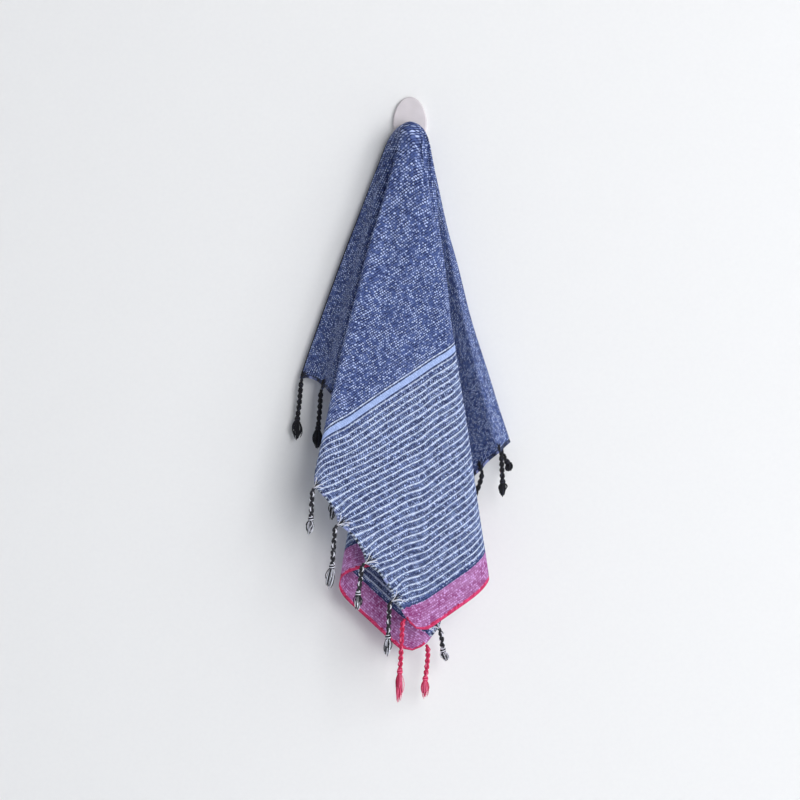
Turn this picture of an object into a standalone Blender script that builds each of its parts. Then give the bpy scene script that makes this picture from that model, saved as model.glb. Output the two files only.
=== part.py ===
"""Hand towel with twisted tassels, hung by its long edge over a wall hook.

Metres, +Z up. The wall is the plane y = 0 and the towel hangs on its -Y side.
The origin is the middle of the hook plate's back face, where the wall carries it.
"""
import math
from collections import namedtuple

import bmesh
import bpy
import numpy as np
from mathutils import Vector

MM = 0.001

# The towel laid flat. Its length runs along the warp, from one row of tassels to the other.
TOWEL_LENGTH = 612 * MM
TOWEL_WIDTH = 420 * MM
CLOTH_THICKNESS = 1 * MM
# Where the hook lies on the plain long edge, from the left short end.
HANG_ALONG = 279 * MM

# The hook.
PLATE_WIDTH = 34 * MM
PLATE_HEIGHT = 54 * MM
PLATE_THICKNESS = 4 * MM
PLATE_RIM = 1.2 * MM
PLATE_SIDES = 48
PLATE_RIM_STEPS = 3
ARM_RADIUS = 5 * MM
ARM_REACH = 41 * MM
ARM_DROP = 5.6 * MM
ARM_SIDES = 24
ARM_TIP_STEPS = 6
SEAT_GAP = 0.3 * MM
# Room between the arm and the cloth that rests along it.
ARM_GAP = 0.5 * MM

# The top of the cloth lies along the arm between these depths, front and back.
RIDGE_FRONT = 38 * MM
RIDGE_BACK = 7 * MM
RIDGE_HEIGHT = CLOTH_THICKNESS / 2 + ARM_GAP - ARM_DROP + ARM_RADIUS
# Length of cloth from the ridge to where it hangs straight, and how far down that is.
SHOULDER_LENGTH = 35 * MM
SHOULDER_DROP = 30 * MM
# The cloth starts off the ridge nearly level, pulled sideways before it falls.
SHOULDER_PULL = 46 * MM
SHOULDER_DIP = 1 * MM

# Folds, in the order in which the cloth turns round the hook from its left long edge.
#   turn          direction from the hook on the flat towel, degrees
#   side          lean of the fold from plumb at the hem, degrees, right is positive
#   before, after distance from the wall at the hem before and after the fold, mm
#   half_loop     half of the fold's own width, degrees of turn, 0 for a soft bend
#   arm_side      sideways place of the fold below the arm, mm
#   arm_depth     distance from the wall there, mm
#   bow           sideways bulge half way down, mm
Fold = namedtuple("Fold", "turn side before after half_loop arm_side arm_depth bow")
FOLDS = (
    Fold(180.0, -23.8, 7, 7, 0.0, -27.9, 9, -2),
    Fold(186.5, -18.7, 22, 22, 0.0, -26.0, 13, -1),
    Fold(194.6, -16.8, 51, 51, 0.0, -23.0, 22, 0),
    Fold(208.0, -3.5, 48, 58, 1.2, -10.5, 32, 0),
    Fold(221.0, -15.3, 59, 68, 1.3, -14.5, 43, -5),
    Fold(236.4, 0.6, 73, 73, 0.0, 3.3, 49, 0),
    Fold(247.0, 9.9, 70, 61, 1.5, 14.5, 46, 2),
    Fold(260.0, -2.5, 59, 53, 1.2, 8.5, 40, 0),
    Fold(274.0, 9.3, 51, 45, 1.5, 23.0, 35, 0),
    Fold(295.7, -8.7, 42, 24, 2.5, 8.5, 29.5, 0),
    Fold(308.4, -0.2, 32, 32, 0.0, 19.6, 25.5, 0),
    Fold(312.6, 3.9, 35, 22, 2.0, 22.5, 22.5, 0),
    Fold(321.0, -4.5, 22, 13, 1.2, 8.5, 18, 0),
    Fold(334.5, 9.2, 15, 15, 0.0, 16.5, 15.5, 0),
    Fold(340.6, 12.3, 28, 28, 0.0, 20.0, 16, -2),
    Fold(346.0, 15.2, 40, 36, 1.2, 21.5, 13.5, -4),
    Fold(349.8, 17.6, 27, 20, 1.2, 21.5, 11.5, -5),
    Fold(353.6, 15.0, 12, 12, 0.0, 18.5, 9.5, -3),
    Fold(360.0, 9.8, 5, 5, 0.0, 9.0, 8, 0),
)
# Each fold is rounded off over this many degrees of turn, at the hem and at the arm.
HEM_ROUNDING = 1.8
ARM_ROUNDING = 5
ROUNDING_SAMPLES = 7
# Turns of the two corners of the pink edge.
LEFT_CORNER = 180 + math.degrees(math.atan2(TOWEL_WIDTH, HANG_ALONG))
RIGHT_CORNER = 360 - math.degrees(math.atan2(TOWEL_WIDTH, TOWEL_LENGTH - HANG_ALONG))
# The cloth leaves the arm to the left before the left corner and to the right after it,
# and turns over the tip within this many degrees.
FRONT_SPREAD = 14.0
LEFT_COLUMNS = 40
MIDDLE_COLUMNS = 46
COLUMNS = 3 * LEFT_COLUMNS
COLUMN_MARKS = (0, LEFT_COLUMNS, LEFT_COLUMNS + MIDDLE_COLUMNS, COLUMNS)
TURN_MARKS = (180, LEFT_CORNER, RIGHT_CORNER, 360)
ROWS = 14
ROW_CROWDING = 1.9

# Tassels: place on the short end from the pink edge, sideways swing and total length, mm.
Tassel = namedtuple("Tassel", "place swing length")
LEFT_TASSELS = (
    Tassel(16, -5, 84),
    Tassel(37, -2, 57),
    Tassel(80, -7, 48),
    Tassel(123, -5, 66),
    Tassel(165, -2, 48),
    Tassel(208, -2, 56),
    Tassel(251, 3, 56),
    Tassel(294, -5, 56),
    Tassel(337, -2, 52),
    Tassel(380, -5, 60),
    Tassel(415, -7, 62),
)
RIGHT_TASSELS = (
    Tassel(16, -6, 54),
    Tassel(37, 4, 34),
    Tassel(80, -9, 34),
    Tassel(123, -3, 52),
    Tassel(165, 0, 52),
    Tassel(208, 2, 52),
    Tassel(251, 0, 52),
    Tassel(294, -16, 40),
    Tassel(337, 2, 44),
    Tassel(380, 13, 25),
    Tassel(415, -6, 46),
)
# The twisted cord of a tassel: two plies side by side, turned a little at each section.
CORD_SIDES = 6
CORD_WIDE = 2.7 * MM
CORD_NARROW = 1.8 * MM
CORD_ROOT = 0.9 * MM
CORD_STEP = 2.8 * MM
CORD_TWIST = math.radians(50)
# Share of the tassel's length above the knot, and the length in which it turns downwards.
CORD_SHARE = 0.6
CORD_BEND = 3 * MM
KNOT_RADIUS = 3.3 * MM
KNOT_LENGTH = 4.5 * MM
KNOT_FULL_FROM = 0.3
KNOT_FULL_TO = 0.8
# The loose locks below the knot: how far they part, and the size of their tips.
LOCK_SPREAD = 3.2 * MM
LOCK_TIP = 0.45
LOCK_SHORTEST = 0.6
# Widths of the pink border and of the border with all the stripes, which colour the yarns.
PINK_BORDER = 28
STRIPED_BORDER = 215

SHARP_ANGLE = math.radians(40)
MERGE_DISTANCE = 0.01 * MM


def finish(name, colour, roughness, metallic=0.0):
    """A plain material of one colour."""
    material = bpy.data.materials.new(name)
    material.use_nodes = True
    shader = material.node_tree.nodes["Principled BSDF"]
    shader.inputs["Base Color"].default_value = (*colour, 1)
    shader.inputs["Roughness"].default_value = roughness
    shader.inputs["Metallic"].default_value = metallic
    return material


def place(bm, name, material, parent):
    """Makes a mesh object of the bmesh, under the parent."""
    bmesh.ops.recalc_face_normals(bm, faces=bm.faces)
    mesh = bpy.data.meshes.new(name)
    bm.to_mesh(mesh)
    bm.free()
    mesh.shade_smooth()
    mesh.set_sharp_from_angle(angle=SHARP_ANGLE)
    mesh.materials.append(material)
    piece = bpy.data.objects.new(name, mesh)
    piece.parent = parent
    bpy.context.collection.objects.link(piece)
    return piece


def column(name, turn, rounding=HEM_ROUNDING):
    """One column of the fold table at a turn, with the folds rounded off."""
    turns = []
    values = []
    for fold in FOLDS:
        if name not in ("side", "depth"):
            turns.append(fold.turn)
            values.append(getattr(fold, name))
            continue
        turns += [fold.turn - fold.half_loop, fold.turn + fold.half_loop]
        values += [fold.side, fold.side] if name == "side" else [fold.before, fold.after]
    spread = np.linspace(-rounding, rounding, ROUNDING_SAMPLES)
    return float(np.mean(np.interp(turn + spread, turns, values)))


def reach(turn):
    """Flat distance from the hook to the towel's edge at a turn."""
    along = math.cos(math.radians(turn))
    across = -math.sin(math.radians(turn))
    lengths = []
    if along < 0:
        lengths.append(HANG_ALONG / -along)
    if along > 0:
        lengths.append((TOWEL_LENGTH - HANG_ALONG) / along)
    if across > 1e-6:
        lengths.append(TOWEL_WIDTH / across)
    return min(lengths)


def hanging_point(turn, share, ridge_depth):
    """Place of the cloth at a turn and a share of the way from the ridge to the hem."""
    far = reach(turn)
    lean = math.radians(column("side", turn))
    hem = Vector((far * math.sin(lean), -column("depth", turn) * MM, -far * math.cos(lean)))
    shoulder = Vector((
        column("arm_side", turn, ARM_ROUNDING) * MM,
        -column("arm_depth", turn, ARM_ROUNDING) * MM,
        -SHOULDER_DROP))
    fall = (hem - shoulder) / (far - SHOULDER_LENGTH)
    distance = far * share
    if distance >= SHOULDER_LENGTH:
        down = (distance - SHOULDER_LENGTH) / (far - SHOULDER_LENGTH)
        bulge = column("bow", turn) * MM * math.sin(math.pi * down)
        return shoulder + fall * (distance - SHOULDER_LENGTH) + Vector((bulge, 0, 0))
    ridge = Vector((0, -ridge_depth, RIDGE_HEIGHT))
    heading = max(-1.0, min(1.0, (turn - LEFT_CORNER) / FRONT_SPREAD)) * math.pi / 2
    start = Vector((
        math.sin(heading) * SHOULDER_PULL, -math.cos(heading) * SHOULDER_PULL, -SHOULDER_DIP))
    t = distance / SHOULDER_LENGTH
    return (
        ridge * (2 * t**3 - 3 * t**2 + 1)
        + start * (t**3 - 2 * t**2 + t)
        + shoulder * (3 * t**2 - 2 * t**3)
        + fall * SHOULDER_LENGTH * (t**3 - t**2))


def make_towel(material, parent):
    """The cloth: a sheet of columns that fan out from the ridge over the arm.

    Along the ridge itself, two columns on the right share each point with one on the
    left, so that the two halves join over the arm.
    """
    bm = bmesh.new()
    bmesh.ops.create_grid(bm, x_segments=COLUMNS, y_segments=ROWS, size=0.5)
    for vertex in bm.verts:
        index = round((vertex.co.x + 0.5) * COLUMNS)
        share = (vertex.co.y + 0.5) ** ROW_CROWDING
        turn = np.interp(index, COLUMN_MARKS, TURN_MARKS)
        if index <= LEFT_COLUMNS:
            forward = index / LEFT_COLUMNS
        elif share > 0:
            forward = 1 - (index - LEFT_COLUMNS) / 2 / LEFT_COLUMNS
        else:
            forward = 1 - (index - LEFT_COLUMNS) // 2 / LEFT_COLUMNS
        ridge_depth = RIDGE_BACK + (RIDGE_FRONT - RIDGE_BACK) * forward
        vertex.co = hanging_point(turn, share, ridge_depth)
    bmesh.ops.remove_doubles(bm, verts=bm.verts, dist=MERGE_DISTANCE)
    towel = place(bm, "towel", material, parent)
    thickness = towel.modifiers.new("thickness", "SOLIDIFY")
    thickness.thickness = CLOTH_THICKNESS
    thickness.offset = 0
    return towel


def hem_seat(left, place_along):
    """Where a tassel leaves the hem: the point, and the way out of the cloth there."""
    along = HANG_ALONG if left else TOWEL_LENGTH - HANG_ALONG
    angle = math.degrees(math.atan2(TOWEL_WIDTH - place_along, along))
    turn = 180 + angle if left else 360 - angle
    index = np.interp(turn, TURN_MARKS, COLUMN_MARKS)
    low_turn = np.interp(math.floor(index), COLUMN_MARKS, TURN_MARKS)
    high_turn = np.interp(math.floor(index) + 1, COLUMN_MARKS, TURN_MARKS)
    low = hanging_point(low_turn, 1, RIDGE_FRONT)
    high = hanging_point(high_turn, 1, RIDGE_FRONT)
    point = low.lerp(high, index - math.floor(index))
    edge = (high - low).normalized()
    above = hanging_point(turn, 1 - 1 / COLUMNS, RIDGE_FRONT)
    fall = point - above
    outward = fall - edge * fall.dot(edge)
    return point, outward.normalized()


def cord_point(root, outward, swing, distance, length):
    """Place on a tassel's middle line: out of the hem, then down with a slight swing."""
    out = CORD_BEND * (1 - math.exp(-distance / CORD_BEND))
    sideways = swing * (distance / length) ** 1.5
    return root + outward * out + Vector((sideways, 0, out - distance))


def make_tassel(name, left, tassel, material, parent):
    """A two-ply twisted cord with a knot at its end and loose locks below the knot."""
    point, outward = hem_seat(left, tassel.place * MM)
    root = point + outward * (SEAT_GAP + CORD_ROOT / 2)
    swing = tassel.swing * MM
    length = tassel.length * MM
    cord_length = length * CORD_SHARE
    steps = round(cord_length / CORD_STEP)
    sections = [(0.0, CORD_ROOT, CORD_ROOT)]
    for step in range(1, steps + 1):
        sections.append((cord_length * step / steps, CORD_WIDE, CORD_NARROW))
    for share in (KNOT_FULL_FROM, KNOT_FULL_TO):
        sections.append((cord_length + KNOT_LENGTH * share, KNOT_RADIUS, KNOT_RADIUS))
    sections.append((cord_length + KNOT_LENGTH, CORD_NARROW, CORD_NARROW))

    bm = bmesh.new()
    last = len(sections) - 1
    bmesh.ops.create_grid(bm, x_segments=CORD_SIDES, y_segments=last, size=0.5)
    for vertex in bm.verts:
        distance, wide, narrow = sections[round((vertex.co.y + 0.5) * last)]
        around = 2 * math.pi * round((vertex.co.x + 0.5) * CORD_SIDES) / CORD_SIDES
        twist = CORD_TWIST * distance / CORD_STEP
        centre = cord_point(root, outward, swing, distance, length)
        ahead = cord_point(root, outward, swing, distance + CORD_STEP / 4, length)
        along = (ahead - centre).normalized()
        across = along.cross(Vector((0, 1, 0))).normalized()
        radius = wide * abs(math.cos(around)) + narrow * (1 - abs(math.cos(around)))
        angle = around + twist
        rim = across * math.cos(angle) + along.cross(across) * math.sin(angle)
        vertex.co = centre + rim * radius
    bmesh.ops.remove_doubles(bm, verts=bm.verts, dist=MERGE_DISTANCE)

    rims = [edge for edge in bm.edges if edge.is_boundary]
    caps = bmesh.ops.edgeloop_fill(bm, edges=rims)["faces"]
    low_cap = min(caps, key=lambda face: face.calc_center_median().z)
    wedges = bmesh.ops.poke(bm, faces=[low_cap])["faces"]
    knot_end = cord_point(root, outward, swing, cord_length + KNOT_LENGTH, length)
    locks = bmesh.ops.extrude_discrete_faces(bm, faces=wedges)["faces"]
    lock_length = length - cord_length - KNOT_LENGTH
    for number, lock in enumerate(locks):
        centre = lock.calc_center_median()
        apart = (centre - knot_end).normalized() * LOCK_SPREAD
        uneven = LOCK_SHORTEST + (1 - LOCK_SHORTEST) * math.cos(number) ** 2
        fall = Vector((swing * lock_length / length, 0, -lock_length * uneven))
        for vertex in lock.verts:
            vertex.co = centre + (vertex.co - centre) * LOCK_TIP + apart + fall
    return place(bm, name, material, parent)


def make_plate(material, parent):
    """The oval plate that the wall carries, with a rounded front rim."""
    bm = bmesh.new()
    bmesh.ops.create_circle(bm, cap_ends=True, segments=PLATE_SIDES, radius=1)
    for vertex in bm.verts:
        vertex.co = Vector((vertex.co.x * PLATE_WIDTH / 2, 0, vertex.co.y * PLATE_HEIGHT / 2))
    sides = bmesh.ops.extrude_face_region(bm, geom=bm.faces[:])["geom"]
    raised = [item for item in sides if isinstance(item, bmesh.types.BMVert)]
    bmesh.ops.translate(bm, verts=raised, vec=(0, -PLATE_THICKNESS, 0))
    rim = [item for item in sides if isinstance(item, bmesh.types.BMEdge)]
    bmesh.ops.bevel(
        bm, geom=rim, offset=PLATE_RIM, segments=PLATE_RIM_STEPS, profile=0.5, affect="EDGES", material=-1)
    return place(bm, "hook_plate", material, parent)


def make_arm(material, parent):
    """The round arm, straight out of the plate, with a rounded tip."""
    start = PLATE_THICKNESS + SEAT_GAP
    centre = Vector((0, 0, -ARM_DROP))
    profile = [(0, start), (ARM_RADIUS, start)]
    for step in range(ARM_TIP_STEPS + 1):
        angle = math.pi / 2 * step / ARM_TIP_STEPS
        profile.append((ARM_RADIUS * math.cos(angle),
                        ARM_REACH - ARM_RADIUS + ARM_RADIUS * math.sin(angle)))
    bm = bmesh.new()
    points = [bm.verts.new(centre + Vector((radius, -depth, 0))) for radius, depth in profile]
    line = [bm.edges.new(pair) for pair in zip(points, points[1:])]
    bmesh.ops.spin(
        bm, geom=points + line, cent=centre, axis=(0, 1, 0), angle=2 * math.pi,
        steps=ARM_SIDES, use_merge=True)
    bmesh.ops.remove_doubles(bm, verts=bm.verts, dist=MERGE_DISTANCE)
    return place(bm, "hook_arm", material, parent)


for old in list(bpy.data.objects):
    bpy.data.objects.remove(old)

hung_towel = bpy.data.objects.new("hung_towel", None)
bpy.context.collection.objects.link(hung_towel)

metal = finish("satin_metal", (0.66, 0.62, 0.6), 0.35, 0.6)
blue_cloth = finish("blue_heather", (0.1, 0.15, 0.33), 0.9)
dark_yarn = finish("dark_yarn", (0.02, 0.022, 0.035), 0.9)
mixed_yarn = finish("black_and_white_yarn", (0.16, 0.18, 0.24), 0.9)
pink_yarn = finish("pink_yarn", (0.6, 0.08, 0.16), 0.9)

make_plate(metal, hung_towel)
make_arm(metal, hung_towel)
make_towel(blue_cloth, hung_towel)
for left, row, end in ((True, LEFT_TASSELS, "left"), (False, RIGHT_TASSELS, "right")):
    for count, tassel in enumerate(row, start=1):
        if tassel.place < PINK_BORDER:
            yarn = pink_yarn
        elif tassel.place < STRIPED_BORDER:
            yarn = mixed_yarn
        else:
            yarn = dark_yarn
        make_tassel(f"tassel_{end}_{count:02d}", left, tassel, yarn, hung_towel)
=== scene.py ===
"""Hand towel with twisted tassels, hung by its long edge over a wall hook.

Metres, +Z up. The wall is the plane y = 0 and the towel hangs on its -Y side. The origin is
the middle of the hook plate's back face.
"""
import math
import random
from collections import namedtuple
from functools import lru_cache

import bmesh
import bpy
import numpy as np
from mathutils import Matrix, Vector, noise


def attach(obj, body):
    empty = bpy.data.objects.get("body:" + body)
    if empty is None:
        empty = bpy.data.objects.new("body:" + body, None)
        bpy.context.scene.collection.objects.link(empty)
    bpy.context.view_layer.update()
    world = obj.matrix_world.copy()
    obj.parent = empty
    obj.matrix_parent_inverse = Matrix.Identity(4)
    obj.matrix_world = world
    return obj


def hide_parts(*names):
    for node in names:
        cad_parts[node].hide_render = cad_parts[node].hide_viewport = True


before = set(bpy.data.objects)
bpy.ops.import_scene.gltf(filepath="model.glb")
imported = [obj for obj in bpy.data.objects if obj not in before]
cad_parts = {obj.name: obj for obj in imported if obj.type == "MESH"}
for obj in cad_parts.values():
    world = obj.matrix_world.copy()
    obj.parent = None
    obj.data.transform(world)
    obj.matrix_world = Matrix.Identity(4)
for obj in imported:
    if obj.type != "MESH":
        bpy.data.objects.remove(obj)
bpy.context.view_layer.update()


# The camera stands straight in front of the wall, six metres off, with a long lens. The
# picture is 800 mm wide at the towel, and the towel hangs a little right of its middle.
MM = 0.001
VIEW_WIDTH = 800 * MM
VIEW_CENTRE = Vector((-10 * MM, -40 * MM, -278 * MM))
CAMERA_DISTANCE = 6.0
SENSOR_WIDTH = 36

lens = bpy.data.cameras.new("camera")
lens.sensor_width = SENSOR_WIDTH
lens.lens = SENSOR_WIDTH * CAMERA_DISTANCE / VIEW_WIDTH
camera = bpy.data.objects.new("camera", lens)
camera.location = VIEW_CENTRE - Vector((0, CAMERA_DISTANCE, 0))
camera.rotation_euler = (math.pi / 2, 0, 0)
bpy.context.collection.objects.link(camera)
bpy.context.scene.camera = camera


# The hook is an oval plate on the wall and a round arm, both of satin nickel, cast and
# polished and then brushed by hand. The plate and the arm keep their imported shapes.
NICKEL_ROUGHNESS = 0.42
NICKEL_METALLIC = 0.2
# The marks of the brush, and faint clouds in the polish (mm).
BRUSH_LENGTH = 6
BRUSH_WIDTH = 0.25
CLOUD_SIZE = 14


def paint(red, green, blue):
    """A colour given as it looks on a screen, from 0 to 255, as the light it gives back."""
    light = []
    for channel in (red, green, blue):
        shade = channel / 255
        light.append(shade / 12.92 if shade < 0.04045 else ((shade + 0.055) / 1.055) ** 2.4)
    return (*light, 1)


NICKEL = paint(214, 208, 213)
NICKEL_SHADE = paint(204, 198, 203)


class Signal:
    """One output among a finish's nodes. Maths with signals is written as plain Python."""

    def __init__(self, tree, socket=None):
        self.tree = tree
        self.socket = socket

    def node(self, kind, inputs, output=0, **settings):
        """Any node: its settings first, then numbers, colours or signals into its inputs."""
        made = self.tree.nodes.new("ShaderNode" + kind)
        for name, setting in settings.items():
            setattr(made, name, setting)
        for name, value in inputs.items():
            if isinstance(value, Signal):
                self.tree.links.new(value.socket, made.inputs[name])
            else:
                made.inputs[name].default_value = value
        return Signal(self.tree, made.outputs[output])

    def maths(self, operation, *terms):
        return self.node("Math", dict(enumerate(terms)), operation=operation)

    def floor(self):
        return self.maths("FLOOR", self)

    def sine(self):
        return self.maths("SINE", self)

    def __add__(self, other):
        return self.maths("ADD", self, other)

    def __sub__(self, other):
        return self.maths("SUBTRACT", self, other)

    def __rsub__(self, other):
        return self.maths("SUBTRACT", other, self)

    def __mul__(self, other):
        return self.maths("MULTIPLY", self, other)

    def __truediv__(self, other):
        return self.maths("DIVIDE", self, other)

    def __gt__(self, other):
        return self.maths("GREATER_THAN", self, other)

    def __lt__(self, other):
        return self.maths("LESS_THAN", self, other)

    __radd__ = __add__
    __rmul__ = __mul__

    def ramp(self, low, high):
        """From 0 at low to 1 at high, with soft ends."""
        inputs = {0: self, 1: low, 2: high, 3: 0.0, 4: 1.0}
        return self.node("MapRange", inputs, interpolation_type="SMOOTHSTEP")

    def stripe(self, start, end, soft):
        """1 between start and end, 0 outside."""
        return self.ramp(start - soft, start + soft) * (1 - self.ramp(end - soft, end + soft))

    def pick(self, low, high):
        """The colour low where this is 0, and high where it is 1."""
        inputs = {0: self, 6: low, 7: high}
        return self.node("Mix", inputs, output=2, data_type="RGBA", clamp_factor=True)

    def at(self, x, y):
        """The place x, y for a noise to be read at."""
        return self.node("CombineXYZ", {0: x, 1: y})

    def grain(self, x, y, detail=1.0):
        """Soft noise from 0 to 1 over x and y."""
        inputs = {"Vector": self.at(x, y), "Scale": 1.0, "Detail": detail, "Roughness": 0.6}
        return self.node("TexNoise", inputs, noise_dimensions="2D")

    def chance(self, x, y):
        """An even random number from 0 to 1, the same for the same x and y."""
        return self.node("TexWhiteNoise", {"Vector": self.at(x, y)}, noise_dimensions="2D")


def finish(name, roughness, metallic=0.0, sheen=0.0):
    """A new material: itself, its shader, and a signal to build its nodes from."""
    material = bpy.data.materials.new(name)
    material.use_nodes = True
    shader = material.node_tree.nodes["Principled BSDF"]
    shader.inputs["Roughness"].default_value = roughness
    shader.inputs["Metallic"].default_value = metallic
    shader.inputs["Sheen Weight"].default_value = sheen
    shader.inputs["Sheen Roughness"].default_value = 0.5
    return material, shader, Signal(material.node_tree)


def join(signal, shader, name):
    signal.tree.links.new(signal.socket, shader.inputs[name])


def emboss(start, height, strength, depth, shader):
    """Raises the surface where height is 1."""
    inputs = {"Height": height, "Strength": strength, "Distance": depth}
    join(start.node("Bump", inputs), shader, "Normal")


def satin_nickel():
    material, shader, start = finish("satin_nickel", NICKEL_ROUGHNESS, metallic=NICKEL_METALLIC)
    place = start.node("TexCoord", {}, output=3)
    right = place.node("SeparateXYZ", {0: place}, output=0) * (1 / MM)
    up = place.node("SeparateXYZ", {0: place}, output=2) * (1 / MM)
    brushed = start.grain(right / BRUSH_LENGTH, up / BRUSH_WIDTH, detail=3.0)
    cloudy = start.grain(right / CLOUD_SIZE, up / CLOUD_SIZE)
    tone = brushed * 0.35 + cloudy * 0.65
    join(tone.ramp(0.2, 0.8).pick(NICKEL_SHADE, NICKEL), shader, "Base Color")
    join(brushed * 0.12 + NICKEL_ROUGHNESS, shader, "Roughness")
    emboss(start, brushed, 0.06, 0.03 * MM, shader)
    return material


nickel = satin_nickel()
for name in ("hook_plate", "hook_arm"):
    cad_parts[name].data.materials.clear()
    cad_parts[name].data.materials.append(nickel)


# The towel is one flat-woven cotton cloth, 420 by 612 mm, its warp along the length. It is
# blue heather, with a striped border and a pink edge on one long side. It hangs by the
# middle of the other long side over the hook's arm, and falls in folds to both sides.
TOWEL_LENGTH = 612 * MM
TOWEL_WIDTH = 420 * MM
CLOTH_THICKNESS = 0.8 * MM
# Where the plain long edge lies over the arm, from the left short end.
HANG_ALONG = 279 * MM
# The cloth's ridge along the arm, from the wall side to its tip, and the bend down from it.
RIDGE_FRONT = 38 * MM
RIDGE_BACK = 7 * MM
RIDGE_HEIGHT = 0.4 * MM
SHOULDER_LENGTH = 35 * MM
SHOULDER_DROP = 30 * MM
SHOULDER_PULL = 46 * MM
SHOULDER_DIP = 1 * MM
# Folds in the order in which the cloth turns round the hook from its left long edge: turn on
# the flat towel (degrees), lean from plumb at the hem (degrees), distance from the wall at
# the hem before and after the fold (mm), half of the fold's width (degrees of turn), place
# and distance from the wall below the arm (mm), and bulge half way down (mm).
Fold = namedtuple("Fold", "turn side before after half_loop arm_side arm_depth bow")
FOLDS = (
    Fold(180.0, -23.8, 7, 7, 0.0, -27.9, 9, -2),
    Fold(186.5, -18.7, 22, 22, 0.0, -26.0, 13, -1),
    Fold(194.6, -16.8, 51, 51, 0.0, -23.0, 22, 0),
    Fold(208.0, -3.5, 48, 58, 1.2, -10.5, 32, 0),
    Fold(221.0, -15.3, 59, 68, 1.3, -14.5, 43, -5),
    Fold(236.4, 0.6, 73, 73, 0.0, 3.3, 49, 0),
    Fold(247.0, 9.9, 70, 61, 1.5, 14.5, 46, 2),
    Fold(260.0, -2.5, 59, 53, 1.2, 8.5, 40, 0),
    Fold(274.0, 9.3, 51, 45, 1.5, 23.0, 35, 0),
    Fold(295.7, -8.7, 42, 24, 2.5, 8.5, 29.5, 0),
    Fold(308.4, -0.2, 32, 32, 0.0, 19.6, 25.5, 0),
    Fold(312.6, 3.9, 35, 22, 2.0, 22.5, 22.5, 0),
    Fold(321.0, -4.5, 22, 13, 1.2, 8.5, 18, 0),
    Fold(334.5, 9.2, 15, 15, 0.0, 16.5, 15.5, 0),
    Fold(340.6, 12.3, 28, 28, 0.0, 20.0, 16, -2),
    Fold(346.0, 15.2, 40, 36, 1.2, 21.5, 13.5, -4),
    Fold(349.8, 17.6, 27, 20, 1.2, 21.5, 11.5, -5),
    Fold(353.6, 15.0, 12, 12, 0.0, 18.5, 9.5, -3),
    Fold(360.0, 9.8, 5, 5, 0.0, 9.0, 8, 0),
)
# How far the folds are rounded off at the hem and below the arm (degrees of turn).
HEM_ROUNDING = 1.8
ARM_ROUNDING = 5
ROUNDING_SAMPLES = 7
# The turns of the two pink corners. Within the spread of the left one, the cloth leaves the
# ridge over the arm's tip, and beyond it to one side.
LEFT_CORNER = 180 + math.degrees(math.atan2(TOWEL_WIDTH, HANG_ALONG))
RIGHT_CORNER = 360 - math.degrees(math.atan2(TOWEL_WIDTH, TOWEL_LENGTH - HANG_ALONG))
FRONT_SPREAD = 14.0
# The sheet's columns, counted off at the corners' turns, and its rows, closer near the arm.
LEFT_COLUMNS = 90
MIDDLE_COLUMNS = 104
COLUMNS = 3 * LEFT_COLUMNS
COLUMN_MARKS = (0, LEFT_COLUMNS, LEFT_COLUMNS + MIDDLE_COLUMNS, COLUMNS)
TURN_MARKS = (180, LEFT_CORNER, RIGHT_CORNER, 360)
ROWS = 150
ROW_CROWDING = 1.25
# The tassels' places along a short end (mm from the pink edge) and their usual spacing. The
# hem draws in between them, and the cloth beside each is gathered towards it.
TASSEL_PLACES = (16, 37, 80, 123, 165, 208, 251, 294, 337, 380, 415)
TASSEL_SPACING = 43
SCALLOP_LEFT = 6
SCALLOP_RIGHT = 2.5
GATHER = 3.6
GATHER_REACH = 26
# Soft rumples in the cloth, and the fine pleats that run down from the arm. Both come in
# between a start and a full distance from the hook (mm).
RUMPLE = 1.5 * MM
RUMPLE_SIZE = 70
RUMPLE_START = 25
RUMPLE_FULL = 140
PLEAT = 0.5 * MM
PLEAT_TURN = 3.1
PLEAT_START = 12
PLEAT_FULL = 40
PLEAT_REACH = 110
# Soft troughs, pressed in towards the wall: turn (degrees), half width, depth, and where
# each starts and ends on the flat towel (mm from the hook). Each deepens over CREASE_START.
Crease = namedtuple("Crease", "turn width depth start end")
CREASES = (
    Crease(243.5, 2.0, 5.5, 3, 80),
    Crease(248.5, 2.4, 4.0, 40, 150),
    Crease(268.5, 1.8, 4.5, 4, 80),
    Crease(203.0, 6.0, 3.0, 40, 190),
    Crease(229.0, 9.0, 2.0, 60, 260),
)
CREASE_START = 12
# The loose weave of the front flap gives towards its hem: how far at each turn, and between
# which distances from the hook it comes in (mm).
SAG_TURNS = (222, 230, 235.5, 237.5, 243, 248, 252, 256)
SAG_DROPS = (0.0, 3.0, 5.5, 11.0, 9.5, 5.5, 4.0, 0.0)
SAG_START = 230
SAG_END = 430
# Near the arm the weave is let out along the ridge, so that it isn't drawn to one point.
EASE_SHARE = 0.55
EASE_REACH = 170
EASE_TURN = math.radians(LEFT_CORNER)
# Beside the front flap's left crease the cloth is stretched on the bias, which tilts its
# stripes: how far at each turn, both in degrees, and where this fades out above the hem (mm).
BIAS_TURNS = (208, 221, 226, 240)
BIAS_SHIFTS = (0.0, 1.3, 1.9, 0.0)
BIAS_UNTIL = 372
BIAS_FADE = 60
# The two corners of the pink edge are rounded over this much of it, and drawn in (mm).
CORNER = 16
CORNER_PULL = 5
WELD = 0.01 * MM

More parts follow.
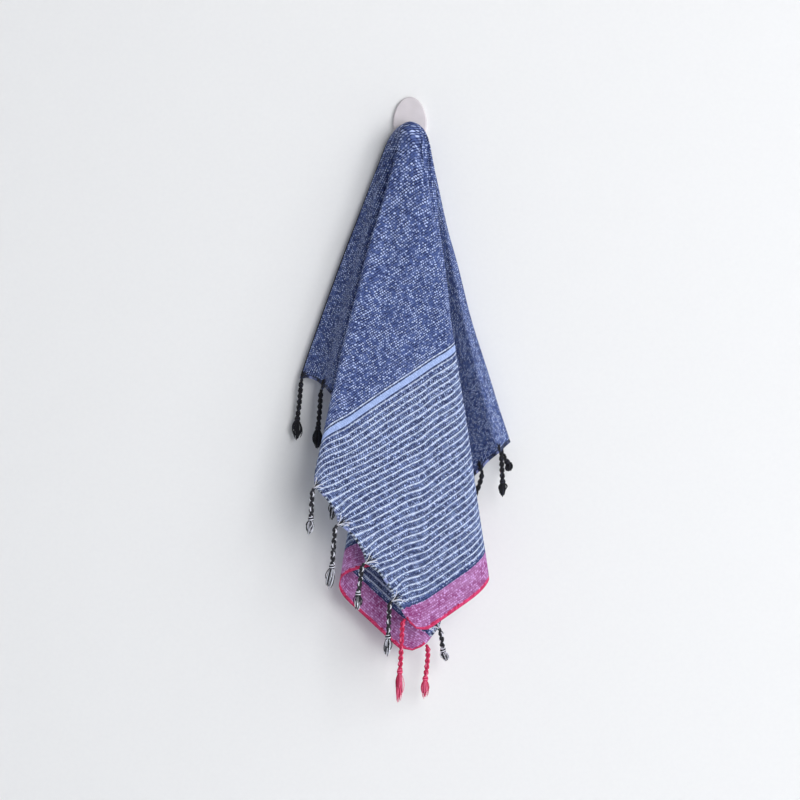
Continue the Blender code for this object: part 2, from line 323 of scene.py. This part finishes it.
HEATHER_DARK = paint(19, 31, 78)
HEATHER_MIDDLE = paint(72, 91, 148)
HEATHER_LIGHT = paint(196, 213, 255)
STRIPE_WHITE = paint(222, 234, 255)
BAND_BLUE = paint(182, 204, 252)
BAND_SHADE = paint(144, 166, 218)
PINK_DARK = paint(136, 40, 112)
PINK_LIGHT = paint(216, 168, 228)
RED_EDGE = paint(176, 22, 70)
RED_LIGHT = paint(232, 74, 130)
LILAC_EDGE = paint(164, 176, 240)
BLACK_EDGE = paint(16, 18, 30)
# Distance between warp threads, and between weft threads, and how far they wander (mm).
WARP_PITCH = 2.2
WEFT_PITCH = 2.0
THREAD_WANDER = 1.1
# The pattern across the towel, from the pink edge (mm).
RED_WIDTH = 3.9
RED_END_WIDTH = 18.0
PINK_WIDTH = 25.5
STRIPE_FIRST = 31.0
STRIPE_LAST = 198.0
STRIPE_PITCH = 5.7
STRIPE_START = 0.6
STRIPE_WIDTH = 1.15
STRIPE_WANDER = 1.6
PLAIN_START = 214.0
SELVEDGE = 2.5
# The hem's black and white warp ends: how far they reach in, and how wide a pair is (mm).
HEM_STITCH = 2.6
TICK_PITCH = 3.2


@lru_cache(maxsize=None)
def column(name, turn, rounding=HEM_ROUNDING):
    """One column of the fold table at a turn, with the folds rounded off."""
    turns = []
    values = []
    for fold in FOLDS:
        if name not in ("side", "depth"):
            turns.append(fold.turn)
            values.append(getattr(fold, name))
            continue
        turns += [fold.turn - fold.half_loop, fold.turn + fold.half_loop]
        values += [fold.side, fold.side] if name == "side" else [fold.before, fold.after]
    spread = np.linspace(-rounding, rounding, ROUNDING_SAMPLES)
    return float(np.mean(np.interp(turn + spread, turns, values)))


def reach(turn):
    """Flat distance from the hook to the towel's edge at a turn."""
    along = math.cos(math.radians(turn))
    across = -math.sin(math.radians(turn))
    lengths = []
    if along < 0:
        lengths.append(HANG_ALONG / -along)
    if along > 0:
        lengths.append((TOWEL_LENGTH - HANG_ALONG) / along)
    if across > 0:
        lengths.append(TOWEL_WIDTH / across)
    return min(lengths)


def soft_step(low, high, value):
    """From 0 at low to 1 at high, with soft ends."""
    share = max(0.0, min(1.0, (value - low) / (high - low)))
    return share * share * (3 - 2 * share)


def hanging_point(turn, share, ridge_depth):
    """Place of the cloth at a turn and a share of the way from the ridge to the hem."""
    far = reach(turn)
    lean = math.radians(column("side", turn))
    hem = Vector((far * math.sin(lean), -column("depth", turn) * MM, -far * math.cos(lean)))
    shoulder = Vector((
        column("arm_side", turn, ARM_ROUNDING) * MM,
        -column("arm_depth", turn, ARM_ROUNDING) * MM,
        -SHOULDER_DROP))
    fall = (hem - shoulder) / (far - SHOULDER_LENGTH)
    distance = far * share
    if distance >= SHOULDER_LENGTH:
        down = (distance - SHOULDER_LENGTH) / (far - SHOULDER_LENGTH)
        bulge = column("bow", turn) * MM * math.sin(math.pi * down)
        return shoulder + fall * (distance - SHOULDER_LENGTH) + Vector((bulge, 0, 0))
    # Above the shoulder, a smooth curve from the ridge that ends in the line of the fall.
    ridge = Vector((0, -ridge_depth, RIDGE_HEIGHT))
    heading = max(-1.0, min(1.0, (turn - LEFT_CORNER) / FRONT_SPREAD)) * math.pi / 2
    start = Vector((
        math.sin(heading) * SHOULDER_PULL, -math.cos(heading) * SHOULDER_PULL, -SHOULDER_DIP))
    t = distance / SHOULDER_LENGTH
    return (
        ridge * (2 * t**3 - 3 * t**2 + 1)
        + start * (t**3 - 2 * t**2 + t)
        + shoulder * (3 * t**2 - 2 * t**3)
        + fall * SHOULDER_LENGTH * (t**3 - t**2))


def hang(along, across):
    """Place of the hung cloth at a flat place (mm): along its length, across from the pink edge."""
    left = along < TOWEL_LENGTH / MM / 2
    end = min(along, TOWEL_LENGTH / MM - along)
    near_end = 1 - soft_step(0, GATHER_REACH, end)
    for low, high in zip(TASSEL_PLACES, TASSEL_PLACES[1:]):
        if near_end > 0 and low <= across <= high:
            between = (across - low) / (high - low)
            room = (high - low) / TASSEL_SPACING
            scallop = SCALLOP_LEFT if left else SCALLOP_RIGHT
            across -= near_end * GATHER * room * math.sin(2 * math.pi * between)
            inward = near_end * scallop * room * math.sin(math.pi * between)
            along += inward if left else -inward
            break
    corner = max(0.0, 1 - end / CORNER) * max(0.0, 1 - across / CORNER)
    if corner:
        across += CORNER_PULL * corner
        along += CORNER_PULL * corner * (1 if left else -1)
    right = along * MM - HANG_ALONG
    down = max(TOWEL_WIDTH - across * MM, 0.0)
    turn = 360 - math.degrees(math.atan2(down, right))
    distance = math.hypot(right, down)
    place = hanging_point(turn, min(distance / reach(turn), 1.0), RIDGE_FRONT)
    sag = float(np.interp(turn, SAG_TURNS, SAG_DROPS)) * soft_step(SAG_START, SAG_END, distance / MM)
    return place - Vector((0, 0, sag * MM))


def make_towel(material):
    """The cloth: a sheet of columns that fan out from the ridge over the arm."""
    bm = bmesh.new()
    flat = bm.loops.layers.uv.new("UVMap")
    bmesh.ops.create_grid(bm, x_segments=COLUMNS, y_segments=ROWS, size=0.5)
    # For each vertex: its flat place, its turn and distance from the hook (mm), and how far
    # forward along the arm its column starts. To the right of the tip the columns start in
    # pairs, since twice as many share the arm's length.
    flat_places = {}
    for vertex in bm.verts:
        index = round((vertex.co.x + 0.5) * COLUMNS)
        share = (vertex.co.y + 0.5) ** ROW_CROWDING
        turn = float(np.interp(index, COLUMN_MARKS, TURN_MARKS))
        if index <= LEFT_COLUMNS:
            forward = index / LEFT_COLUMNS
        elif share > 0:
            forward = 1 - (index - LEFT_COLUMNS) / 2 / LEFT_COLUMNS
        else:
            forward = 1 - (index - LEFT_COLUMNS) // 2 / LEFT_COLUMNS
        distance = reach(turn) * share
        along = (HANG_ALONG + distance * math.cos(math.radians(turn))) / MM
        across = (TOWEL_WIDTH + distance * math.sin(math.radians(turn))) / MM
        flat_places[vertex] = (along, across, turn, distance / MM, forward)
    for vertex, (along, across, turn, distance, forward) in flat_places.items():
        ridge_depth = RIDGE_BACK + (RIDGE_FRONT - RIDGE_BACK) * forward
        if distance < SHOULDER_LENGTH / MM:
            vertex.co = hanging_point(turn, distance * MM / reach(turn), ridge_depth)
        else:
            vertex.co = hang(along, across)
    # The weave is laid over the flat cloth, let out near the arm and stretched on the bias.
    for face in bm.faces:
        for loop in face.loops:
            along, across, turn, distance, forward = flat_places[loop.vert]
            ease = (RIDGE_FRONT - RIDGE_BACK) / MM * forward * EASE_SHARE
            ease *= 1 - soft_step(0, EASE_REACH, distance)
            bias = float(np.interp(turn, BIAS_TURNS, BIAS_SHIFTS))
            bias *= 1 - soft_step(BIAS_UNTIL - BIAS_FADE, BIAS_UNTIL, distance)
            shift = math.radians(bias) * distance
            across_way = math.radians(turn)
            loop[flat].uv = (
                along + ease * math.cos(EASE_TURN) + shift * math.sin(across_way),
                across + ease * math.sin(EASE_TURN) - shift * math.cos(across_way))
    bm.normal_update()
    # Rumples and pleats along the cloth's normal, and the creases towards the wall.
    for vertex, (along, across, turn, distance, forward) in flat_places.items():
        place = Vector((along, across, 0)) / RUMPLE_SIZE
        rumple = RUMPLE * soft_step(RUMPLE_START, RUMPLE_FULL, distance) * noise.noise(place)
        pleat = PLEAT * soft_step(PLEAT_START, PLEAT_FULL, distance)
        pleat *= math.exp(-distance / PLEAT_REACH)
        ripple = math.sin(2 * math.pi * turn / PLEAT_TURN + 2 * noise.noise(place * 2))
        vertex.co += vertex.normal * (rumple + pleat * ripple)
        for crease in CREASES:
            aside = math.exp(-(math.radians(turn - crease.turn) * distance / crease.width) ** 2)
            fades = 1 - soft_step((crease.start + crease.end) / 2, crease.end, distance)
            pressed = soft_step(crease.start, crease.start + CREASE_START, distance) * fades * aside
            vertex.co.y += crease.depth * MM * pressed
    bmesh.ops.remove_doubles(bm, verts=bm.verts, dist=WELD)
    bmesh.ops.recalc_face_normals(bm, faces=bm.faces)
    mesh = bpy.data.meshes.new("towel_cloth")
    bm.to_mesh(mesh)
    bm.free()
    mesh.shade_smooth()
    mesh.materials.append(material)
    piece = bpy.data.objects.new("towel_cloth", mesh)
    bpy.context.collection.objects.link(piece)
    thickness = piece.modifiers.new("thickness", "SOLIDIFY")
    thickness.thickness = CLOTH_THICKNESS
    thickness.offset = 0
    return piece


def blue_heather():
    """The woven pattern, drawn over the flat cloth in mm."""
    material, shader, start = finish("blue_heather", 0.92, sheen=0.02)
    place = start.node("UVMap", {}, uv_map="UVMap")
    along = place.node("SeparateXYZ", {0: place}, output=0)
    across = place.node("SeparateXYZ", {0: place}, output=1)

    # Plain weave: light warp threads lie in rows along the cloth, with the dark weft between
    # and across them. Each cell has its own tone, and each thread wanders a little and changes
    # its tone slowly along its length.
    aside = (start.grain(along / 7, across / 4 + 40) - 0.5) * THREAD_WANDER
    onward = (start.grain(along / 5, across / 3) - 0.5) * THREAD_WANDER * 2
    warp_place = (across + aside) / WARP_PITCH
    warp = warp_place.floor()
    weft_place = (along + onward) / WEFT_PITCH + start.chance(warp, warp * 0.3) * 0.9
    weft = weft_place.floor()
    ridge = ((warp_place - warp) * math.pi).sine()
    crown = ((weft_place - weft) * math.pi).sine()
    own_tone = start.chance(weft, warp)
    gap_tone = start.chance(weft + 0.5, warp * 0.7)
    warp_tone = start.grain(along / 9, warp * 7.3, detail=2.0)
    weft_tone = start.grain(weft * 7.3, across / 9, detail=2.0)
    patch = start.grain(along / 30, across / 14, detail=2.0)
    bright = own_tone * 0.5 + warp_tone * 0.5 + (patch - 0.5) * 0.2
    deep = gap_tone * 0.5 + weft_tone * 0.5 - (patch - 0.5) * 0.2
    # Each cell is lighter at its middle and darker at its edges, after the threads' round profile:
    # partly the yarns' own colours, partly painted shade of the round threads.
    light = (ridge * crown).ramp(0.25, 0.8) * bright.ramp(0.3, 0.8)
    dark = (1 - ridge * (0.6 + crown * 0.4)).ramp(0.1, 0.6) * deep.ramp(0.25, 0.65)
    heather = light.pick(dark.pick(HEATHER_MIDDLE, HEATHER_DARK), HEATHER_LIGHT)

    # Fine beaded white lines with darker cells beside each, over a lighter ground.
    wander = start.grain(along / 24, across / 24) * STRIPE_WANDER
    line_place = across + wander + own_tone * 0.5 - STRIPE_FIRST
    step = line_place.maths("WRAP", line_place, STRIPE_PITCH, 0.0)
    bead = own_tone * 0.55 + crown * 0.5 + 0.2
    bordered = across.stripe(STRIPE_FIRST - 1.5, STRIPE_LAST + 1.5, 0.2)
    line = step.stripe(STRIPE_START, STRIPE_START + STRIPE_WIDTH, 0.4) * bead * bordered
    between = step.stripe(1.9, 5.8, 0.5) * bordered
    shade = between * (gap_tone * 0.5 + (1 - crown) * 0.6).ramp(0.15, 0.8)
    cloth = (bordered * 0.2).pick(heather, BAND_BLUE)
    cloth = shade.pick(cloth, HEATHER_DARK)
    cloth = line.pick(cloth, STRIPE_WHITE)

    # The broad light band between two thin dark and two thin white lines, finely ribbed: where
    # each begins and ends, its colour, and how much of it shows.
    band = (crown * 0.5 + own_tone * 0.5).pick(BAND_SHADE, BAND_BLUE)
    for begin, end, colour, amount in (
            (201.8, 202.9, STRIPE_WHITE, bead * 0.85),
            (203.1, 204.5, HEATHER_DARK, 0.6),
            (204.7, 210.0, band, 0.95),
            (210.2, 211.4, HEATHER_DARK, 0.6),
            (211.6, 212.7, STRIPE_WHITE, bead * 0.85)):
        cloth = (across.stripe(begin, end, 0.25) * amount).pick(cloth, colour)

    # The pink edge: pink weft over a lilac warp, and a red selvedge. The other one is black.
    pink = light * 0.5 + own_tone * gap_tone * 0.7 + (1 - dark) * 0.25 + (patch - 0.5) * 0.6
    ragged = (weft_tone - 0.5) * 1.6
    cloth = (across.stripe(PINK_WIDTH, PINK_WIDTH + 2.2, 0.4) * 0.4).pick(cloth, HEATHER_DARK)
    cloth = (across + ragged < PINK_WIDTH).pick(cloth, pink.pick(PINK_DARK, PINK_LIGHT))
    red = own_tone * 0.5 + weft_tone.ramp(0.35, 0.65) * 0.5
    selvedge = across + ragged + own_tone * 0.9 < RED_WIDTH
    cloth = selvedge.pick(cloth, red.pick(RED_EDGE, RED_LIGHT))
    cloth = (across > TOWEL_WIDTH / MM - SELVEDGE).pick(cloth, BLACK_EDGE)

    # The hem at the short ends: black and white warp ends over the last weft thread, all
    # black in the plain part, and here and there the smooth lilac of the turned-up edge.
    end = along.maths("MINIMUM", along, TOWEL_LENGTH / MM - along)
    blue = across > PINK_WIDTH
    plain = across > PLAIN_START
    ticks = (across * (2 * math.pi / TICK_PITCH)).sine().ramp(0.0, 0.6) * (1 - plain)
    edge = (end - plain * 1.2).ramp(HEM_STITCH + 0.5, HEM_STITCH - 0.5)
    edge = edge * blue * (own_tone * 0.5 + 0.5)
    cloth = edge.pick(cloth, (ticks * 0.7).pick(BLACK_EDGE, STRIPE_WHITE))
    turned = end.ramp(3.4, 1.6) * start.grain(along / 60, across / 9).ramp(0.5, 0.68) * blue
    cloth = (turned * (warp_tone * 0.5 + 0.5)).pick(cloth, LILAC_EDGE)
    red_end = end.ramp(3.2, 2.2) * (across < RED_END_WIDTH)
    cloth = red_end.pick(cloth, (own_tone * 0.7).pick(RED_EDGE, RED_LIGHT))

    join(cloth, shader, "Base Color")
    height = ridge * (crown * 0.5 + 0.5) + line * 0.6
    emboss(start, height, 0.6, 0.35 * MM, shader)
    return material


towel = make_towel(blue_heather())
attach(towel, "root")
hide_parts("towel")


# The tassels are the warp ends of both short sides. A few of them are gathered at each
# place, twisted into two plies, twisted together, and knotted over loose ends.
# Each tassel: its place from the pink edge, its swing to the right, and its length (mm).
Tassel = namedtuple("Tassel", "place swing length")
LEFT_TASSELS = (
    Tassel(16, -5, 84),
    Tassel(37, -2, 57),
    Tassel(80, -7, 48),
    Tassel(123, -5, 66),
    Tassel(165, -2, 48),
    Tassel(208, -2, 56),
    Tassel(251, 3, 56),
    Tassel(294, -5, 56),
    Tassel(337, -2, 52),
    Tassel(380, -5, 60),
    Tassel(415, -7, 62),
)
RIGHT_TASSELS = (
    Tassel(16, -6, 54),
    Tassel(37, 4, 34),
    Tassel(80, -9, 34),
    Tassel(123, -3, 52),
    Tassel(165, 0, 52),
    Tassel(208, 2, 52),
    Tassel(251, 0, 52),
    Tassel(294, -16, 40),
    Tassel(337, 2, 44),
    Tassel(380, 13, 25),
    Tassel(415, -6, 46),
)
# Where the pink yarns and the black and white ones end, from the pink edge (mm).
PINK_BORDER = 28
STRIPED_BORDER = 215
# The cord's share of a tassel, and how far it leaves the hem before it turns down.
CORD_SHARE = 0.62
CORD_BEND = 3 * MM
CORD_STEP = 0.7 * MM
PLY_OFFSET = 1.3 * MM
PLY_PITCH = 11.5 * MM
YARNS = 3
YARN_OFFSET = 0.66 * MM
YARN_PITCH = 8 * MM
YARN_RADIUS = 0.78 * MM
YARN_SIDES = 6
KNOT_RADIUS = 1.9 * MM
KNOT_LENGTH = 4.2 * MM
KNOT_SUNK = 0.5 * MM
KNOT_TURNS = 2.2
KNOT_STRANDS = 3
KNOT_STEPS = 28
# The loose ends are finer and more in the pink tassels, and are set out in a spiral.
LOOSE_ENDS = 60
FINE_ENDS = 84
LOOSE_RADIUS = 0.46 * MM
FINE_SHARE = 0.75
LOOSE_SPREAD = 2.7 * MM
LOOSE_START = 1.5 * MM
LOOSE_CURL = 1.7
LOOSE_TILT = 2.4
LOOSE_STEPS = 7
LOOSE_SIDES = 5
SPIRAL_ANGLE = 2.39996
# Nothing of a tassel reaches nearer to the wall than this.
WALL_ROOM = 0.8 * MM
# Thin threads gather on the hem above a tassel like a crow's foot. Spread and reach are in mm.
CROW_THREADS = 12
CROW_STEPS = 8
CROW_SPREAD = 11
CROW_REACH = 13
CROW_RADIUS = 0.42 * MM
CROW_LIFT = 0.75 * MM
# Places on the cloth keep this far inside its edges (mm).
CLOTH_MARGIN = 0.1
STRAND_WELD = 0.001 * MM
STRAND_SEAM = 0.02


def cloth_outside(along, across):
    """The hung place of a flat place (mm), and the way out of the cloth's face there."""
    last_along = TOWEL_LENGTH / MM - CLOTH_MARGIN
    last_across = TOWEL_WIDTH / MM - CLOTH_MARGIN
    lengthwise = hang(min(along + 1, last_along), across) - hang(max(along - 1, CLOTH_MARGIN), across)
    crosswise = hang(along, min(across + 1, last_across)) - hang(along, max(across - 1, CLOTH_MARGIN))
    return hang(along, across), lengthwise.cross(crosswise).normalized()


Ring = namedtuple("Ring", "centre ahead across radius length")


def add_strand(bm, yarn, number, points, radii, sides):
    """A round strand along the points, closed at both ends. Its number marks its yarn."""
    made = bmesh.new()
    layer = made.loops.layers.uv.new("UVMap")
    last = len(points) - 1
    bmesh.ops.create_grid(made, x_segments=sides, y_segments=last, size=0.5)
    length = 0.0
    rings = []
    across = Vector((0, 1, 0))
    for index, point in enumerate(points):
        ahead = (points[min(index + 1, last)] - points[max(index - 1, 0)]).normalized()
        across = (across - ahead * across.dot(ahead)).normalized()
        if index:
            length += (point - points[index - 1]).length
        rings.append(Ring(point, ahead, across, radii[index], length))
    for face in made.faces:
        for loop in face.loops:
            ring = rings[round((loop.vert.co.y + 0.5) * last)]
            around = round((loop.vert.co.x + 0.5) * sides) / sides
            loop[layer].uv = (number + STRAND_SEAM + (1 - 2 * STRAND_SEAM) * around, ring.length / MM)
    for vertex in made.verts:
        ring = rings[round((vertex.co.y + 0.5) * last)]
        angle = 2 * math.pi * round((vertex.co.x + 0.5) * sides) / sides
        outward = ring.across * math.cos(angle) + ring.ahead.cross(ring.across) * math.sin(angle)
        vertex.co = ring.centre + outward * ring.radius
    bmesh.ops.remove_doubles(made, verts=made.verts, dist=STRAND_WELD)
    rims = [edge for edge in made.edges if edge.is_boundary]
    caps = bmesh.ops.edgeloop_fill(made, edges=rims)["faces"]
    for cap in caps:
        for loop in cap.loops:
            loop[layer].uv = (number + 0.5, 0.0)
    bmesh.ops.recalc_face_normals(made, faces=made.faces)
    mesh = bpy.data.meshes.new(yarn)
    made.to_mesh(mesh)
    made.free()
    bm.from_mesh(mesh)
    bpy.data.meshes.remove(mesh)


def make_tassel(name, left, tassel, material, fine):
    """One tassel: crow's foot, twisted cord, knot and loose ends."""
    chance = random.Random(name)
    end = 0.0 if left else TOWEL_LENGTH / MM
    inward = 1 if left else -1
    root, face = cloth_outside(end, tassel.place)
    outward = (root - hang(end + 4 * inward, tassel.place)).normalized()
    length = tassel.length * MM
    swing = tassel.swing * MM
    cord_length = length * CORD_SHARE

    def middle(distance):
        """The tassel's middle line: out from the hem, then down, swinging aside."""
        out = CORD_BEND * (1 - math.exp(-max(distance, 0) / CORD_BEND))
        sideways = swing * (max(distance, 0) / length) ** 1.5
        return root + outward * out + Vector((sideways, 0, out - distance))

    def around(distance):
        """Two ways out from the middle line, square to it and to each other."""
        ahead = (middle(distance + 1 * MM) - middle(distance)).normalized()
        across = ahead.cross(Vector((0, 1, 0))).normalized()
        return across, ahead.cross(across)

    bm = bmesh.new()
    bm.loops.layers.uv.new("UVMap")
    number = 0
    steps = round(cord_length / CORD_STEP)
    for ply in (0, 1):
        for yarn in range(YARNS):
            points = []
            for step in range(steps + 1):
                distance = cord_length * step / steps
                across, front = around(distance)
                opened = 0.45 + 0.55 * soft_step(0, 4 * MM, distance)
                turned = 2 * math.pi * distance / PLY_PITCH + math.pi * ply
                wound = -2 * math.pi * distance / YARN_PITCH + 2 * math.pi * yarn / YARNS
                offset = PLY_OFFSET * opened * Vector((math.cos(turned), math.sin(turned)))
                offset += YARN_OFFSET * opened * Vector((math.cos(wound), math.sin(wound)))
                points.append(middle(distance) + across * offset.x + front * offset.y)
            radii = [YARN_RADIUS * (0.93 + 0.14 * chance.random()) for point in points]
            add_strand(bm, name, number, points, radii, YARN_SIDES)
            number += 1

    knot_start = cord_length - KNOT_SUNK
    for strand in range(KNOT_STRANDS):
        points = []
        tilt = chance.uniform(0.5, 0.9)
        for step in range(KNOT_STEPS + 1):
            share = step / KNOT_STEPS
            turned = 2 * math.pi * (KNOT_TURNS * share + strand / KNOT_STRANDS)
            distance = knot_start + KNOT_LENGTH * (share + 0.18 * tilt * math.sin(turned))
            across, front = around(distance)
            radius = KNOT_RADIUS * (0.55 + 0.5 * math.sin(math.pi * share))
            ring = across * math.cos(turned) + front * math.sin(turned)
            points.append(middle(distance) + ring * radius)
        radii = [YARN_RADIUS * 1.45] * len(points)
        add_strand(bm, name, number, points, radii, YARN_SIDES)
        number += 1

    tuft_start = cord_length + KNOT_LENGTH * 0.6
    tuft_length = length - tuft_start
    ends = FINE_ENDS if fine else LOOSE_ENDS
    loose_radius = LOOSE_RADIUS * (FINE_SHARE if fine else 1)
    tilt = chance.uniform(-LOOSE_TILT, LOOSE_TILT) * MM
    for strand in range(ends):
        angle = strand * SPIRAL_ANGLE + chance.uniform(-0.3, 0.3)
        outer = math.sqrt((strand + 0.5) / ends)
        own_length = tuft_length * chance.uniform(0.55, 1.05) * (1.04 - 0.2 * outer)
        curl = chance.uniform(-LOOSE_CURL, LOOSE_CURL) * MM
        lean = chance.uniform(0.2, 1.5)
        points = []
        radii = []
        for step in range(LOOSE_STEPS + 1):
            share = step / LOOSE_STEPS
            distance = tuft_start + own_length * share
            across, front = around(distance)
            spread = LOOSE_START * (1 - 0.5 * share) + LOOSE_SPREAD * lean * math.sin(2.45 * share)
            ring = across * math.cos(angle) + front * math.sin(angle)
            bend = across * math.sin(angle * 3) + front * math.cos(angle * 2)
            point = middle(distance) + ring * outer * spread + bend * curl * math.sin(3 * share)
            point += across * tilt * share**1.5
            point.y = min(point.y, -WALL_ROOM)
            points.append(point)
            radii.append(loose_radius * (1.0 if step < LOOSE_STEPS else 0.5))
        add_strand(bm, name, number, points, radii, LOOSE_SIDES)
        number += 1

    # The pink tassels have no crow's foot.
    crow_threads = 0 if fine else CROW_THREADS
    for thread in range(crow_threads):
        share = (thread + 0.5) / crow_threads * 2 - 1
        lift = face * (CROW_LIFT if thread % 2 else -CROW_LIFT)
        sideways = CROW_SPREAD * share * chance.uniform(0.85, 1.1)
        far = CROW_REACH * chance.uniform(0.55, 1.0) * (1 - 0.4 * abs(share))
        points = []
        for step in range(CROW_STEPS + 1):
            part = step / CROW_STEPS
            place = tassel.place + sideways * (1 - part) ** 1.3
            place = min(max(place, 1.0), TOWEL_WIDTH / MM - 1.0)
            along = end + inward * far * (1 - part) ** 1.1
            sunk = 1 - (1 - soft_step(0, 0.25, part)) * 0.9
            points.append(hang(along, place) + lift * sunk)
        points.append(middle(1.5 * MM) + lift * 0.6)
        points.append(middle(3.5 * MM) + lift * 0.3)
        radii = [CROW_RADIUS] * len(points)
        add_strand(bm, name, number, points, radii, LOOSE_SIDES)
        number += 1

    mesh = bpy.data.meshes.new(name)
    bm.to_mesh(mesh)
    bm.free()
    mesh.shade_smooth()
    mesh.materials.append(material)
    piece = bpy.data.objects.new(name, mesh)
    bpy.context.collection.objects.link(piece)
    return piece


def spun_yarn(name, dark, light, share_light):
    """Cotton yarn: each strand is dark or light by its number, with fibre grain and a faint painted
    highlight.
    """
    material, shader, start = finish(name, 0.88, sheen=0.05)
    place = start.node("UVMap", {}, uv_map="UVMap")
    strand = place.node("SeparateXYZ", {0: place}, output=0)
    down = place.node("SeparateXYZ", {0: place}, output=1)
    number = strand.floor()
    around = strand - number
    light_yarn = start.chance(number, number * 0.37 + 3.1) < share_light
    fibre_grain_and_highlight = start.grain(around * 5 + down * 1.1, down * 0.8 + number * 7.3, detail=2.0)
    tone = start.chance(number + 0.5, number * 1.7)
    colour = light_yarn.pick(dark, light)
    # Painted highlight: the colour is drawn a little towards the light yarn's colour along the fibre
    # grain. Below, it is darkened where the grain is low.
    colour = (fibre_grain_and_highlight.ramp(0.3, 0.8) * 0.03 + tone * 0.01).pick(colour, light)
    colour = (fibre_grain_and_highlight.ramp(0.6, 0.2) * 0.35).pick(colour, dark)
    join(colour, shader, "Base Color")
    emboss(start, fibre_grain_and_highlight, 0.5, 0.25 * MM, shader)
    return material


YARN_FINISHES = {
    "pink_yarn": spun_yarn("pink_yarn", paint(196, 36, 84), paint(240, 112, 152), 0.35),
    "mixed_yarn": spun_yarn("black_and_white_yarn", paint(16, 17, 28), paint(228, 230, 242), 0.33),
    "dark_yarn": spun_yarn("dark_yarn", paint(12, 13, 22), paint(40, 42, 58), 0.2),
}
for left, row, side in ((True, LEFT_TASSELS, "left"), (False, RIGHT_TASSELS, "right")):
    for count, tassel in enumerate(row, start=1):
        yarn = "dark_yarn"
        if tassel.place < STRIPED_BORDER:
            yarn = "mixed_yarn"
        if tassel.place < PINK_BORDER:
            yarn = "pink_yarn"
        node = f"tassel_{side}_{count:02d}"
        piece = make_tassel(f"twisted_{node}", left, tassel, YARN_FINISHES[yarn], yarn == "pink_yarn")
        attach(piece, "root")
        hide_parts(node)


# The room: a painted wall behind, a pale floor far below, and soft daylight from the upper
# right. The wall can be seen through from behind.
WALL_SIZE = 3.4
WALL_BACK = 0.5 * MM
FLOOR_SIZE = 8.0
FLOOR_HEIGHT = -1.3
TOWEL_MIDDLE = (0, 0, -0.3)
WALL_WHITE = paint(238, 239, 240)
WALL_SHADE = paint(234, 235, 237)
FLOOR_WHITE = paint(234, 235, 236)
FLOOR_SHADE = paint(229, 230, 232)


def make_plane(name, size, turned, middle, material):
    bm = bmesh.new()
    bmesh.ops.create_grid(bm, x_segments=1, y_segments=1, size=size / 2)
    bmesh.ops.transform(bm, matrix=Matrix.Translation(middle) @ turned, verts=bm.verts)
    mesh = bpy.data.meshes.new(name)
    bm.to_mesh(mesh)
    bm.free()
    mesh.materials.append(material)
    piece = bpy.data.objects.new(name, mesh)
    bpy.context.collection.objects.link(piece)
    return piece


def wall_paint():
    material, shader, start = finish("wall_paint", 0.95)
    place = start.node("TexCoord", {}, output=3)
    rolled = start.node("TexNoise", {"Vector": place, "Scale": 260.0, "Detail": 2.0})
    emboss(start, rolled, 0.04, 0.3 * MM, shader)
    join(rolled.pick(WALL_SHADE, WALL_WHITE), shader, "Base Color")
    clear = start.node("BsdfTransparent", {})
    behind = start.node("NewGeometry", {}, output=6)
    front = Signal(start.tree, shader.outputs[0])
    shown = start.node("MixShader", {0: behind, 1: front, 2: clear})
    output = material.node_tree.nodes["Material Output"]
    start.tree.links.new(shown.socket, output.inputs["Surface"])
    return material


def floor_paint():
    material, shader, start = finish("floor_paint", 0.9)
    place = start.node("TexCoord", {}, output=3)
    grain = start.node("TexNoise", {"Vector": place, "Scale": 40.0, "Detail": 2.0})
    join(grain.pick(FLOOR_SHADE, FLOOR_WHITE), shader, "Base Color")
    return material


def add_light(name, place, size, power, colour):
    """A square lamp that faces the towel."""
    data = bpy.data.lights.new(name, "AREA")
    data.size = size
    data.energy = power
    data.color = colour
    light = bpy.data.objects.new(name, data)
    light.location = place
    facing = Vector(TOWEL_MIDDLE) - Vector(place)
    light.rotation_euler = facing.to_track_quat("-Z", "Y").to_euler()
    bpy.context.collection.objects.link(light)


upright = Matrix.Rotation(math.pi / 2, 4, "X")
wall = make_plane("wall", WALL_SIZE, upright, (0, WALL_BACK, TOWEL_MIDDLE[2]), wall_paint())
wall.visible_shadow = False
make_plane("floor", FLOOR_SIZE, Matrix.Identity(4), (0, 0, FLOOR_HEIGHT), floor_paint())

add_light("window", (3.6, -2.6, 1.8), 2.7, 52, (1.0, 0.99, 0.98))
add_light("room", (2.2, -4.2, 0.4), 3.0, 158, (1.0, 0.998, 0.995))
add_light("behind", (-0.8, 2.2, 0.8), 1.8, 25, (1.0, 1.0, 1.0))

sky = bpy.data.worlds.new("sky")
sky.use_nodes = True
sky.node_tree.nodes["Background"].inputs["Color"].default_value = paint(236, 239, 245)
sky.node_tree.nodes["Background"].inputs["Strength"].default_value = 0.24
bpy.context.scene.world = sky
bpy.context.scene.view_settings.view_transform = "Standard"
